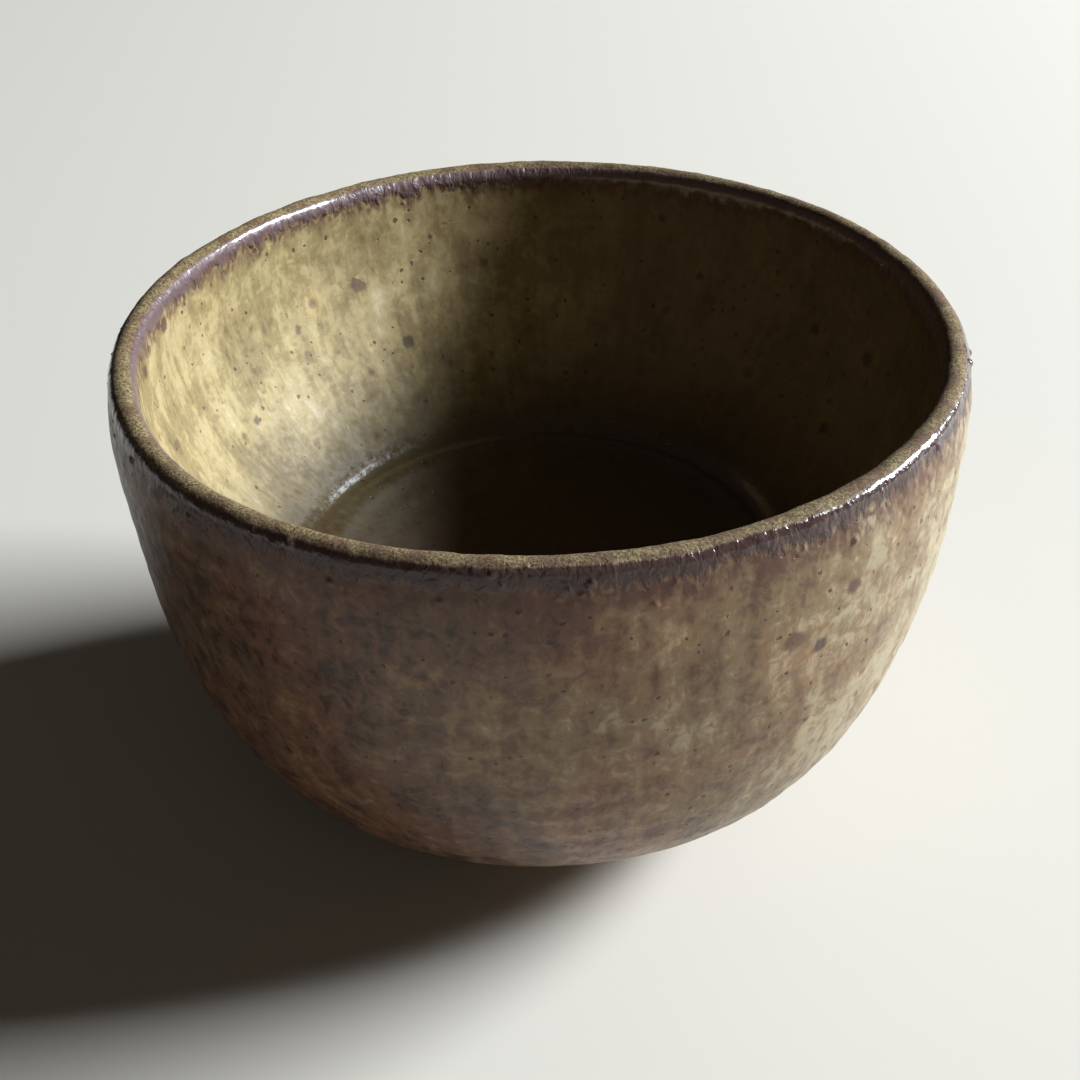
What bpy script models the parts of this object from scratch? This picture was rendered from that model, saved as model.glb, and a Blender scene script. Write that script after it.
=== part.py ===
"""A hand-thrown matcha bowl: a stoneware body on a luted foot ring, under three coats of glaze.

Metres, +Z up. The origin is under the middle of the bowl, on the plane that the foot ring stands on.
Each piece is a turned profile. The same slow wobble of the thrower's hands then bends them all, and it
fades out towards the foot, which was trimmed on the wheel and is true and flat.
"""

import math

import bpy
import numpy as np

# Driving dimensions
HEIGHT = 0.077
BELLY_RADIUS = 0.0613
BELLY_TAPER = 0.025
BELLY_DEPTH = 0.073
BELLY_SQUARENESS = 3.0
BELLY_FULLNESS = 0.25
LIP_PINCH = 0.00125
LIP_PINCH_DEPTH = 0.005
LIP_DEPTH = 0.0022
LIP_INNER_RADIUS = 0.0563

# Inside wall and floor, from under the lip to the middle of the floor: radius, depth below the lip
INSIDE = (
    (LIP_INNER_RADIUS, LIP_DEPTH),
    (0.0562, 0.009),
    (0.0549, 0.016),
    (0.0523, 0.0225),
    (0.0487, 0.0285),
    (0.0441, 0.0339),
    (0.0392, 0.0379),
    (0.0340, 0.0407),
    (0.0255, 0.0441),
    (0.0125, 0.0475),
    (0.0, 0.0486),
)

# Foot ring and the trimmed underside
FOOT_RADIUS = 0.0265
FOOT_FLARE = 0.0010
FOOT_WIDTH = 0.0052
FOOT_HEIGHT = 0.0047
FOOT_ROUNDING = 0.0006
RECESS_HEIGHT = 0.0095
RECESS_DISH = 0.0010
WAIST_DEPTH = 0.0695

# Glaze coats: thickness, the gap to the clay and between coats, and where the dip over the lip ends
GLAZE = 0.0007
GAP = 0.0003
RIM_COAT_INSIDE = 0.0062
RIM_COAT_OUTSIDE = 0.0074

# Hand-thrown wobble: harmonics of the radius and of the lip's height, and the lean of the axis
OVAL = (-0.00030, 0.00085)
TRIANGLE = (0.00012, -0.00125)
TILT = (-0.00110, 0.00030)
WAVE = (0.00105, 0.00010)
LEAN = 0.014
TRUE_HEIGHT = 0.012
CENTRE_SHIFT = (0.00005, -0.00109)

# Fineness of the meshes
STEPS = 48
DENSE_POINTS = 1500
LIP_POINTS = 60
WALL_SPACING = 0.0062
LIP_SPACING = 0.0017
LIP_ZONE = 0.0055
FOOT_EDGE_POINTS = 4
SHARP_EDGE = math.radians(40.0)
MERGE_DISTANCE = 0.00001

PARTS_COLLECTION = "matcha_bowl"


def clear_scene():
    """Removes whatever the scene holds."""
    for leftover in list(bpy.data.objects):
        bpy.data.objects.remove(leftover, do_unlink=True)


def fired_material(name, colour, roughness):
    """Returns a fired clay or glaze."""
    material = bpy.data.materials.new(name)
    material.use_nodes = True
    shader = material.node_tree.nodes["Principled BSDF"]
    shader.inputs["Base Color"].default_value = (*colour, 1.0)
    shader.inputs["Roughness"].default_value = roughness
    shader.inputs["Metallic"].default_value = 0.0
    return material


def outer_radius(depth):
    """Radius of the outside at a depth below the lip: a slight taper, rounded in at the bottom."""
    taper = BELLY_RADIUS - BELLY_TAPER * depth
    rounding = (1.0 - (depth / BELLY_DEPTH) ** BELLY_SQUARENESS) ** BELLY_FULLNESS
    pinch = LIP_PINCH * np.exp(-((depth / LIP_PINCH_DEPTH) ** 2))
    return taper * rounding - pinch


def natural_spline(values, knots, at):
    """Values at the places asked for on the natural cubic spline through the knots."""
    count = len(knots)
    span = np.diff(knots)
    slope = np.diff(values) / span
    matrix = np.eye(count)
    right = np.zeros(count)
    for row in range(1, count - 1):
        matrix[row, row - 1] = span[row - 1]
        matrix[row, row] = 2.0 * (span[row - 1] + span[row])
        matrix[row, row + 1] = span[row]
        right[row] = 6.0 * (slope[row] - slope[row - 1])
    bend = np.linalg.solve(matrix, right)
    part = np.clip(np.searchsorted(knots, at) - 1, 0, count - 2)
    left = at - knots[part]
    width = span[part]
    linear = slope[part] - width * (2.0 * bend[part] + bend[part + 1]) / 6.0
    cubic = (bend[part + 1] - bend[part]) / (6.0 * width)
    return values[part] + left * (linear + left * (bend[part] / 2.0 + left * cubic))


def inside_curve():
    """Points down the inside wall and over the floor to its middle."""
    shape = np.array(INSIDE)
    # The floor is mirrored past its middle, so that the curve crosses the axis level.
    mirrored = shape[-2::-1] * (-1.0, 1.0)
    whole = np.concatenate([shape, mirrored])
    knots = np.concatenate([[0.0], np.cumsum(np.linalg.norm(np.diff(whole, axis=0), axis=1))])
    at = np.linspace(0.0, knots[len(shape) - 1], DENSE_POINTS)
    curve = np.stack([natural_spline(whole[:, side], knots, at) for side in (0, 1)], axis=1)
    curve[-1, 0] = 0.0
    return curve


def lip_curve():
    """The rolled lip: half an ellipse from the inside wall over to the outside."""
    outside = outer_radius(LIP_DEPTH)
    middle = (LIP_INNER_RADIUS + outside) / 2.0
    half = (outside - LIP_INNER_RADIUS) / 2.0
    angle = np.linspace(math.pi, 0.0, LIP_POINTS)
    return np.stack([middle + half * np.cos(angle), LIP_DEPTH * (1.0 - np.sin(angle))], axis=1)


def outside_curve():
    """Points down the outside, from under the lip to where the foot ring meets the body."""
    # Stations crowd towards the bottom, where the outside turns in fast.
    way = np.sin(np.linspace(0.0, math.pi / 2.0, DENSE_POINTS))
    depth = LIP_DEPTH + (bottom_depth() - LIP_DEPTH) * way
    return np.stack([outer_radius(depth), depth], axis=1)


def bottom_depth():
    """Depth below the lip of the body's bottom edge, just above the foot ring."""
    return HEIGHT - FOOT_HEIGHT - GAP


def skin():
    """The bowl's glazed surface from the middle of the floor, over the lip, to the foot.

    Returns the points, their normals out into the air, and the distance along the surface from the
    top of the lip, negative on the inside.
    """
    inside = inside_curve()[::-1]
    lip = lip_curve()
    points = np.concatenate([inside, lip[1:], outside_curve()[1:]])
    along = np.concatenate([[0.0], np.cumsum(np.linalg.norm(np.diff(points, axis=0), axis=1))])
    top = np.argmin(points[:, 1])
    run = np.gradient(points, along, axis=0)
    run /= np.linalg.norm(run, axis=1, keepdims=True)
    normals = np.stack([run[:, 1], -run[:, 0]], axis=1)
    normals[0] = (0.0, -1.0)
    return points, normals, along - along[top]


def stations(start, end):
    """Distances along the skin, close together over the lip and wider on the walls."""
    cuts = [start, *(edge for edge in (-LIP_ZONE, LIP_ZONE) if start < edge < end), end]
    places = [np.array([start])]
    for low, high in zip(cuts[:-1], cuts[1:]):
        spacing = LIP_SPACING if abs(low + high) / 2.0 < LIP_ZONE else WALL_SPACING
        count = max(2, math.ceil((high - low) / spacing))
        places.append(np.linspace(low, high, count + 1)[1:])
    return np.concatenate(places)


def skin_slice(start, end, sink):
    """The skin between two distances from the top of the lip, sunk into the clay."""
    points, normals, along = skin()
    at = stations(start, end)
    sunk = points - sink * normals
    return np.stack([np.interp(at, along, sunk[:, side]) for side in (0, 1)], axis=1)


def distance_at_depth(depth, outside):
    """Distance along the skin from the top of the lip to a depth, on the outside or the inside."""
    points, _, along = skin()
    chosen = along > 0.0 if outside else along < 0.0
    order = np.argsort(points[chosen, 1])
    return float(np.interp(depth, points[chosen, 1][order], along[chosen][order]))


def coat_profile(start, end):
    """A closed profile of a coat: its face, then its back on the way home."""
    face = skin_slice(start, end, 0.0)
    back = skin_slice(start, end, GLAZE)[::-1]
    return np.concatenate([face, back])


def floor_coat_profile(end):
    """The inside coat runs over the middle of the floor, so its profile starts and ends on the axis."""
    start = float(skin()[2][0])
    return coat_profile(start, end)


def body_profile():
    """The clay body: up the inside, over the lip, down the outside, and under to the axis."""
    along = skin()[2]
    walls = skin_slice(float(along[0]), float(along[-1]), GLAZE + GAP)
    walls[-1, 1] = bottom_depth()
    inner_foot = FOOT_RADIUS - FOOT_WIDTH
    ceiling = HEIGHT - RECESS_HEIGHT
    under = [
        (inner_foot - GAP, bottom_depth()),
        (inner_foot - RECESS_HEIGHT / 2.0, ceiling + RECESS_DISH),
        (inner_foot / 2.0, ceiling + RECESS_DISH / 3.0),
        (0.0, ceiling),
    ]
    return np.concatenate([walls, under])


def foot_profile():
    """The foot ring: a slightly flared band with its standing edges rounded."""
    top = HEIGHT - FOOT_HEIGHT
    inner = FOOT_RADIUS - FOOT_WIDTH
    turn = np.linspace(0.0, math.pi / 2.0, FOOT_EDGE_POINTS)
    outer_edge = [
        (
            FOOT_RADIUS - FOOT_ROUNDING * (1.0 - math.cos(angle)),
            HEIGHT - FOOT_ROUNDING * (1.0 - math.sin(angle)),
        )
        for angle in turn
    ]
    inner_edge = [
        (
            inner + FOOT_FLARE + FOOT_ROUNDING * (1.0 - math.sin(angle)),
            HEIGHT - FOOT_ROUNDING * (1.0 - math.cos(angle)),
        )
        for angle in turn
    ]
    middle = (inner + FOOT_RADIUS) / 2.0
    return np.array(
        [(FOOT_RADIUS + FOOT_FLARE, top), *outer_edge, (middle, HEIGHT), *inner_edge, (inner, top)]
    )


def wobble(vertices):
    """Bends turned points as the thrower's hands did: see the constants for the harmonics."""
    x, y, z = vertices.T
    angle = np.arctan2(y, x)
    rise = np.clip((z - TRUE_HEIGHT) / (HEIGHT - TRUE_HEIGHT), 0.0, None)
    fade = rise * rise * (2.0 - np.minimum(rise, 1.0))
    radius = np.hypot(x, y)
    share = fade * np.clip(radius / LIP_INNER_RADIUS, 0.0, 1.0)
    push = OVAL[0] * np.cos(2.0 * angle) + OVAL[1] * np.sin(2.0 * angle)
    push += TRIANGLE[0] * np.cos(3.0 * angle) + TRIANGLE[1] * np.sin(3.0 * angle)
    lift = TILT[0] * np.cos(angle) + TILT[1] * np.sin(angle)
    lift += WAVE[0] * np.cos(2.0 * angle) + WAVE[1] * np.sin(2.0 * angle)
    new_radius = radius + share * push
    lean = LEAN * (z - HEIGHT)
    return np.stack(
        [
            new_radius * np.cos(angle) + lean + CENTRE_SHIFT[0],
            new_radius * np.sin(angle) + CENTRE_SHIFT[1],
            z + share * lift,
        ],
        axis=1,
    )


def turned_piece(name, profile, closed, material, collection):
    """Turns a profile, given as radius and depth, about the bowl's axis and bends it by hand."""
    points = [(float(radius), 0.0, HEIGHT - float(depth)) for radius, depth in profile]
    edges = [(index, index + 1) for index in range(len(points) - 1)]
    if closed:
        edges.append((len(points) - 1, 0))
    outline = bpy.data.meshes.new(name + "_outline")
    outline.from_pydata(points, edges, [])
    piece = bpy.data.objects.new(name, outline)
    collection.objects.link(piece)
    turn = piece.modifiers.new("turn", "SCREW")
    turn.axis = "Z"
    turn.angle = math.tau
    turn.steps = STEPS
    turn.render_steps = STEPS
    turn.use_merge_vertices = True
    turn.merge_threshold = MERGE_DISTANCE
    turned = bpy.data.meshes.new_from_object(
        piece.evaluated_get(bpy.context.evaluated_depsgraph_get())
    )
    piece.modifiers.clear()
    flat = np.empty(len(turned.vertices) * 3)
    turned.vertices.foreach_get("co", flat)
    turned.vertices.foreach_set("co", wobble(flat.reshape(-1, 3)).ravel())
    turned.name = name
    piece.data = turned
    bpy.data.meshes.remove(outline)
    turned.shade_smooth()
    turned.set_sharp_from_angle(angle=SHARP_EDGE)
    turned.materials.clear()
    turned.materials.append(material)
    return piece


def clay_body(collection):
    """The thrown wall and heavy floor."""
    clay = fired_material("clay", (0.30, 0.22, 0.15), 0.85)
    return turned_piece("clay_body", body_profile(), False, clay, collection)


def foot_ring(collection):
    """The bare clay ring that the bowl stands on."""
    clay = fired_material("foot_clay", (0.34, 0.25, 0.17), 0.9)
    return turned_piece("foot_ring", foot_profile(), True, clay, collection)


def rim_glaze(collection):
    """The dark dip over the lip."""
    start = distance_at_depth(RIM_COAT_INSIDE, outside=False)
    end = distance_at_depth(RIM_COAT_OUTSIDE, outside=True)
    glaze = fired_material("rim_glaze", (0.12, 0.07, 0.07), 0.25)
    return turned_piece("rim_glaze", coat_profile(start, end), True, glaze, collection)


def inside_glaze(collection):
    """The ochre and olive coat over the inside wall and the floor."""
    end = distance_at_depth(RIM_COAT_INSIDE, outside=False) - GAP
    glaze = fired_material("inside_glaze", (0.30, 0.23, 0.10), 0.35)
    return turned_piece("inside_glaze", floor_coat_profile(end), False, glaze, collection)


def outside_glaze(collection):
    """The brown and olive coat from the rim's dip down to the waist."""
    start = distance_at_depth(RIM_COAT_OUTSIDE, outside=True) + GAP
    end = distance_at_depth(WAIST_DEPTH, outside=True)
    glaze = fired_material("outside_glaze", (0.19, 0.13, 0.08), 0.4)
    return turned_piece("outside_glaze", coat_profile(start, end), True, glaze, collection)


def main():
    """Builds the five pieces into one collection."""
    clear_scene()
    collection = bpy.data.collections.new(PARTS_COLLECTION)
    bpy.context.scene.collection.children.link(collection)
    for make in (clay_body, foot_ring, rim_glaze, inside_glaze, outside_glaze):
        make(collection)


main()
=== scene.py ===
"""The finished look of a hand-thrown matcha bowl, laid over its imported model.

One glazed skin runs from the middle of the floor, up the inside, over the lip and down the outside.
Every piece is a stretch of that skin, or of the bare clay under it, worked out as whole numpy grids:
a distance along the profile for the rows and an angle round the bowl for the columns.
"""

import math

import bpy
import numpy as np
from mathutils import Matrix, Vector


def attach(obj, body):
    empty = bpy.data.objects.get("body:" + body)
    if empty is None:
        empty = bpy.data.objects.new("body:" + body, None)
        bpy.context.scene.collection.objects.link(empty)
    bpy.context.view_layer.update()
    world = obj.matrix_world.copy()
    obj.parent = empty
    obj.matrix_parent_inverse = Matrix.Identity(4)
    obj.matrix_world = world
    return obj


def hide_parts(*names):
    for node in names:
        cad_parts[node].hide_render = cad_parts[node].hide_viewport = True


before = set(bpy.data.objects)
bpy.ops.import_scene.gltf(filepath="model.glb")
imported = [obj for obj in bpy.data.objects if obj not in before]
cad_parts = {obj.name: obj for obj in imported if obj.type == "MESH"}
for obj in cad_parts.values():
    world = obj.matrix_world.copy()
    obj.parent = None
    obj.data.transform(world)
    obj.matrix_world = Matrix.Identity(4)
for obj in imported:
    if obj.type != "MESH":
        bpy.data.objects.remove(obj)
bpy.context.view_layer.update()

MM = 0.001

# The bowl's outline, the same as the model's
HEIGHT = 77.0 * MM
BELLY_RADIUS = 61.3 * MM
BELLY_TAPER = 0.025
BELLY_DEPTH = 73.0 * MM
BELLY_SQUARENESS = 3.0
BELLY_FULLNESS = 0.25
LIP_PINCH = 1.25 * MM
LIP_PINCH_DEPTH = 5.0 * MM
LIP_DEPTH = 2.2 * MM
LIP_INNER_RADIUS = 56.3 * MM
INSIDE = (
    (LIP_INNER_RADIUS, LIP_DEPTH),
    (56.2 * MM, 9.0 * MM),
    (54.9 * MM, 16.0 * MM),
    (52.3 * MM, 22.5 * MM),
    (48.7 * MM, 28.5 * MM),
    (44.1 * MM, 33.9 * MM),
    (39.2 * MM, 37.9 * MM),
    (34.0 * MM, 40.7 * MM),
    (25.5 * MM, 44.1 * MM),
    (12.5 * MM, 47.5 * MM),
    (0.0, 48.6 * MM),
)
FOOT_RADIUS = 26.5 * MM
FOOT_FLARE = 1.0 * MM
FOOT_WIDTH = 5.2 * MM
FOOT_HEIGHT = 4.7 * MM
RECESS_HEIGHT = 9.5 * MM
RECESS_DISH = 1.0 * MM
WAIST_DEPTH = 69.5 * MM
GLAZE = 0.7 * MM
GAP = 0.3 * MM

# The thrower's slow wobble, the same as the model's
OVAL = (-0.30 * MM, 0.85 * MM)
TRIANGLE = (0.12 * MM, -1.25 * MM)
TILT = (-1.10 * MM, 0.30 * MM)
WAVE = (1.05 * MM, 0.10 * MM)
LEAN = 0.014
TRUE_HEIGHT = 12.0 * MM
CENTRE_SHIFT = (0.05 * MM, -1.09 * MM)

# Small marks of the hand on the lip: angle in degrees, spread in degrees, push outwards, lift
HAND_MARKS = (
    (38.0, 22.0, 0.5 * MM, 0.1 * MM),
    (222.0, 22.0, 0.3 * MM, -0.4 * MM),
    (262.0, 14.0, 0.1 * MM, 0.25 * MM),
    (310.0, 22.0, -0.2 * MM, 0.2 * MM),
)

# The floor's edge, where the throwing tool turned in and the glaze pooled
FLOOR_EDGE_RADIUS = 36.0 * MM
FLOOR_EDGE_WIDTH = 1.6 * MM
FLOOR_EDGE_DEPTH = 0.45 * MM

# The wall's flat on the left, below the lip: angle and spread in degrees, depth and spread, push
WALL_FLAT = (205.0, 38.0, 24.0 * MM, 17.0 * MM, -1.35 * MM)

# Where the coats meet, as distances along the skin from the top of the lip, negative inside
RIM_INSIDE = -7.0 * MM
RIM_OUTSIDE = 8.5 * MM
FLOW_RADIUS = 58.0 * MM

# Fineness of the grids
COLUMNS = 704
RIM_COLUMNS = 1408
ROW = 0.64 * MM
RIM_ROW = 0.30 * MM
BACK_ROWS = 12
HIDDEN_ROWS = 50
DENSE_POINTS = 3000
SHARP_ANGLE = math.radians(50.0)
SEED = 1207

# The outer coat's run-out edge: the height of its bead, whose place and width count in glazes
EDGE_BEAD = 0.25 * MM
EDGE_BEAD_AT = 2.6
EDGE_BEAD_WIDTH = 1.6

# Bare clay: spacing of its grids, depth of its grit, and the foot's worn standing edges
CLAY_COLUMNS = 512
BODY_SPACING = 0.4 * MM
RECESS_SPACING = 0.5 * MM
FOOT_SPACING = 0.35 * MM
COVE_STEPS = 14
CEILING_STEPS = 40
CEILING_END = 0.03
WEAR_STEPS = 8
BODY_GRIT = 0.045 * MM
FOOT_GRIT = 0.05 * MM
FINE_GRIT_GRAIN = 0.9 * MM
COARSE_GRIT_GRAIN = 4.0 * MM
FOOT_WEAR = 0.7 * MM
GRIT_FADE = 0.8 * MM
WAIST_OVERLAP = 4.0 * MM
HIDDEN_START = 1.0 * MM
SEAM = 0.05 * MM
SEAM_STEP = 0.02 * MM

# Soft noises of the fired skin: height, grain, and the share of the way down the wall that counts,
# where less draws the pattern out as glaze runs
UNEVEN = (0.30 * MM, 21.0 * MM, 1.0)
UNEVEN_FINE = (0.10 * MM, 8.0 * MM, 1.0)
RUNS = (0.075 * MM, 2.6 * MM, 0.13)
RUNS_FINE = (0.04 * MM, 1.5 * MM, 0.3)
PEEL = (0.022 * MM, 1.3 * MM, 1.0)
LIP_RIPPLE = (0.10 * MM, 3.2 * MM, 0.3)
LIP_GRAIN = (0.045 * MM, 1.1 * MM, 1.0)
EDGE_RUN = (0.9 * MM, 9.0 * MM, 1.0)
EDGE_RUN_FINE = (0.35 * MM, 3.0 * MM, 1.0)

# The spiral of throwing rings: its pitch, its drift in turns, and its height outside and inside
RING_PITCH = 4.7 * MM
RING_DRIFT = 0.5
RING_DRIFT_GRAIN = 30.0 * MM
RING_FADE_GRAIN = 16.0 * MM
RING_OUTSIDE = 0.055 * MM
RING_INSIDE = 0.022 * MM

# Craters and beads: how tall each is for its size, and how far it reaches in its own sizes
CRATER_DEPTH = 0.11
CRATER_REACH = 2.5
BEAD_HEIGHT = 0.62
BEAD_REACH = 1.2


# ---------------------------------------------------------------- noise

def lattice(seed, size=32):
    """A block of random values that repeats in all three directions."""
    return np.random.default_rng(seed).uniform(-1.0, 1.0, (size, size, size))


def soft_noise(points, grain, seed):
    """Smooth noise from -1 to 1: random lattice values blended with a smoothstep between corners."""
    table = lattice(seed)
    size = len(table)
    scaled = np.asarray(points) / grain
    corner = np.floor(scaled).astype(int)
    part = scaled - corner
    part = part * part * (3.0 - 2.0 * part)
    total = np.zeros(scaled.shape[:-1])
    for step in np.ndindex(2, 2, 2):
        index = (corner + step) % size
        share = np.prod(np.where(step, part, 1.0 - part), axis=-1)
        total += share * table[index[..., 0], index[..., 1], index[..., 2]]
    return total


def smooth_rise(value, low, high):
    """A smoothstep from 0 at low to 1 at high."""
    part = np.clip((value - low) / (high - low), 0.0, 1.0)
    return part * part * (3.0 - 2.0 * part)


# ---------------------------------------------------------------- the outline

def outer_radius(depth):
    """Radius of the outside at a depth: a slight taper times a rounding-in below, less a pinch."""
    taper = BELLY_RADIUS - BELLY_TAPER * depth
    rounding = (1.0 - (depth / BELLY_DEPTH) ** BELLY_SQUARENESS) ** BELLY_FULLNESS
    pinch = LIP_PINCH * np.exp(-((depth / LIP_PINCH_DEPTH) ** 2))
    return taper * rounding - pinch


def natural_spline(values, knots, at):
    """Values at the places asked for on the natural cubic spline through the knots."""
    count = len(knots)
    span = np.diff(knots)
    slope = np.diff(values) / span
    inner = np.arange(1, count - 1)
    matrix = np.eye(count)
    matrix[inner, inner - 1] = span[:-1]
    matrix[inner, inner] = 2.0 * (span[:-1] + span[1:])
    matrix[inner, inner + 1] = span[1:]
    right = np.zeros(count)
    right[inner] = 6.0 * np.diff(slope)
    bend = np.linalg.solve(matrix, right)
    part = np.clip(np.searchsorted(knots, at) - 1, 0, count - 2)
    left = at - knots[part]
    linear = slope[part] - span[part] * (2.0 * bend[part] + bend[part + 1]) / 6.0
    cubic = (bend[part + 1] - bend[part]) / (6.0 * span[part])
    return values[part] + left * (linear + left * (bend[part] / 2.0 + left * cubic))


def chord_lengths(points):
    """Distance along a line of points, from its first point."""
    return np.concatenate([[0.0], np.cumsum(np.linalg.norm(np.diff(points, axis=0), axis=1))])


def inside_curve():
    """Down the inside wall and over the floor to its middle, where the curve crosses the axis level."""
    shape = np.array(INSIDE)
    whole = np.concatenate([shape, shape[-2::-1] * (-1.0, 1.0)])
    knots = chord_lengths(whole)
    at = np.linspace(0.0, knots[len(shape) - 1], DENSE_POINTS)
    curve = np.stack([natural_spline(whole[:, side], knots, at) for side in (0, 1)], axis=1)
    curve[-1, 0] = 0.0
    return curve


def lip_curve():
    """The rolled lip: half an ellipse from the inside wall over to the outside."""
    outside = outer_radius(LIP_DEPTH)
    middle = (LIP_INNER_RADIUS + outside) / 2.0
    half = (outside - LIP_INNER_RADIUS) / 2.0
    angle = np.linspace(math.pi, 0.0, DENSE_POINTS // 10)
    return np.stack([middle + half * np.cos(angle), LIP_DEPTH * (1.0 - np.sin(angle))], axis=1)


def outside_curve():
    """Down the outside to just above the foot ring, with points crowding where it turns in."""
    way = np.sin(np.linspace(0.0, math.pi / 2.0, DENSE_POINTS))
    depth = LIP_DEPTH + (HEIGHT - FOOT_HEIGHT - GAP - LIP_DEPTH) * way
    return np.stack([outer_radius(depth), depth], axis=1)


def build_skin():
    """Points, outward normals and distances from the top of the lip, along the whole glazed skin."""
    points = np.concatenate([inside_curve()[::-1], lip_curve()[1:], outside_curve()[1:]])
    along = chord_lengths(points)
    run = np.gradient(points, along, axis=0)
    run /= np.linalg.norm(run, axis=1, keepdims=True)
    normals = np.stack([run[:, 1], -run[:, 0]], axis=1)
    normals[0] = (0.0, -1.0)
    return points, normals, along - along[np.argmin(points[:, 1])]


SKIN_POINTS, SKIN_NORMALS, SKIN_ALONG = build_skin()
FLOOR_MIDDLE = float(SKIN_ALONG[0])
BODY_EDGE = float(SKIN_ALONG[-1])
FLOOR_POINTS = slice(0, DENSE_POINTS // 2)
FLOOR_EDGE = float(np.interp(FLOOR_EDGE_RADIUS, SKIN_POINTS[FLOOR_POINTS, 0], SKIN_ALONG[FLOOR_POINTS]))


def skin_at(along):
    """Radius, depth and normal of the skin at any array of distances."""
    read = [np.interp(along, SKIN_ALONG, SKIN_POINTS[:, side]) for side in (0, 1)]
    read += [np.interp(along, SKIN_ALONG, SKIN_NORMALS[:, side]) for side in (0, 1)]
    return read


def along_at_depth(depth):
    """Distance along the outside at a depth below the lip."""
    outside = SKIN_ALONG > 0.0
    return float(np.interp(depth, SKIN_POINTS[outside, 1], SKIN_ALONG[outside]))


def wobble(radius, depth, angle):
    """Turned coordinates bent by hand: harmonics of radius and height, lean, and marks on the lip."""
    height = HEIGHT - depth
    rise = np.clip((height - TRUE_HEIGHT) / (HEIGHT - TRUE_HEIGHT), 0.0, None)
    fade = rise * rise * (2.0 - np.minimum(rise, 1.0))
    share = fade * np.clip(radius / LIP_INNER_RADIUS, 0.0, 1.0)
    push = OVAL[0] * np.cos(2.0 * angle) + OVAL[1] * np.sin(2.0 * angle)
    push += TRIANGLE[0] * np.cos(3.0 * angle) + TRIANGLE[1] * np.sin(3.0 * angle)
    lift = TILT[0] * np.cos(angle) + TILT[1] * np.sin(angle)
    lift += WAVE[0] * np.cos(2.0 * angle) + WAVE[1] * np.sin(2.0 * angle)
    for centre, spread, mark_push, mark_lift in HAND_MARKS:
        away = (np.degrees(angle) - centre + 180.0) % 360.0 - 180.0
        mark = np.exp(-((away / spread) ** 2)) * rise**2
        push = push + mark_push * mark
        lift = lift + mark_lift * mark
    centre, spread, flat_depth, flat_height, flat_push = WALL_FLAT
    away = (np.degrees(angle) - centre + 180.0) % 360.0 - 180.0
    flat = np.exp(-((away / spread) ** 2) - ((depth - flat_depth) / flat_height) ** 2)
    push = push + flat_push * flat
    new_radius = radius + share * push
    x = new_radius * np.cos(angle) + LEAN * (height - HEIGHT) + CENTRE_SHIFT[0]
    y = new_radius * np.sin(angle) + CENTRE_SHIFT[1]
    return np.stack([x, y, height + share * lift], axis=-1)


def skin_grid(along, angle, lifted):
    """The skin at a grid of distances and angles, raised along its normal."""
    radius, depth, normal_out, normal_down = skin_at(along)
    return wobble(radius + lifted * normal_out, depth + lifted * normal_down, angle)


def flow_of(along, angle):
    """The skin unrolled on a straight cylinder, so that a pattern can run down it as glaze does."""
    along, angle = np.broadcast_arrays(along, angle)
    return np.stack([FLOW_RADIUS * np.cos(angle), FLOW_RADIUS * np.sin(angle), along], axis=-1)


# ---------------------------------------------------------------- relief

def scatter(count, low, high, small, large, seed):
    """Seeded places on the skin: distance along it, angle, and a size that is mostly small."""
    draw = np.random.default_rng(seed)
    along = draw.uniform(low, high, count)
    angle = draw.uniform(0.0, 2.0 * math.pi, count)
    size = small + (large - small) * draw.uniform(0.0, 1.0, count) ** 2.5
    return np.stack([along, angle, size], axis=1)


CRATERS = np.concatenate(
    [
        scatter(120, 10.0 * MM, 84.0 * MM, 0.6 * MM, 1.8 * MM, SEED),
        scatter(52, -44.0 * MM, -8.0 * MM, 0.8 * MM, 2.0 * MM, SEED + 1),
        scatter(14, -84.0 * MM, -46.0 * MM, 0.7 * MM, 1.4 * MM, SEED + 2),
    ]
)
BEADS = np.concatenate(
    [
        scatter(120, 1.9 * MM, 7.6 * MM, 0.22 * MM, 0.55 * MM, SEED + 3),
        scatter(34, -5.5 * MM, -3.0 * MM, 0.22 * MM, 0.5 * MM, SEED + 4),
        # The crumb of clay caught in the glaze on the lip's front left, and one near the front
        np.array([[2.2 * MM, math.radians(240.0), 0.75 * MM]]),
        np.array([[3.6 * MM, math.radians(275.0), 0.6 * MM]]),
    ]
)


def each_place(places, along, angle, reach):
    """For each scattered place: the rows that it reaches, and the distance from it in its own sizes."""
    radius = skin_at(along)[0]
    rows = along[:, 0]
    for centre, turn, size in places:
        near = np.abs(rows - centre) < reach * size
        if not near.any():
            continue
        aside = (angle - turn + math.pi) % (2.0 * math.pi) - math.pi
        across = radius[near] * aside
        yield near, np.hypot(along[near] - centre, across) / size, size


def crater_field(along, angle):
    """Burst bubbles healed over: a hollow with a raised ring. Returns the height and a colour mask."""
    height = np.zeros(np.broadcast(along, angle).shape)
    mask = np.zeros_like(height)
    for near, away, size in each_place(CRATERS, along, angle, CRATER_REACH):
        hollow = np.exp(-((away / 0.5) ** 2))
        ring = np.exp(-(((away - 1.0) / 0.32) ** 2))
        height[near] += CRATER_DEPTH * size * (0.5 * ring - hollow)
        mask[near] += ring - 1.6 * hollow
    return height, np.clip(mask, -1.0, 1.0)


def bead_field(along, angle):
    """Small round beads of glaze and grit under the lip."""
    height = np.zeros(np.broadcast(along, angle).shape)
    for near, away, size in each_place(BEADS, along, angle, BEAD_REACH):
        dome = np.sqrt(np.clip(1.0 - away**2, 0.0, 1.0))
        height[near] = np.maximum(height[near], BEAD_HEIGHT * size * dome)
    return height


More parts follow.
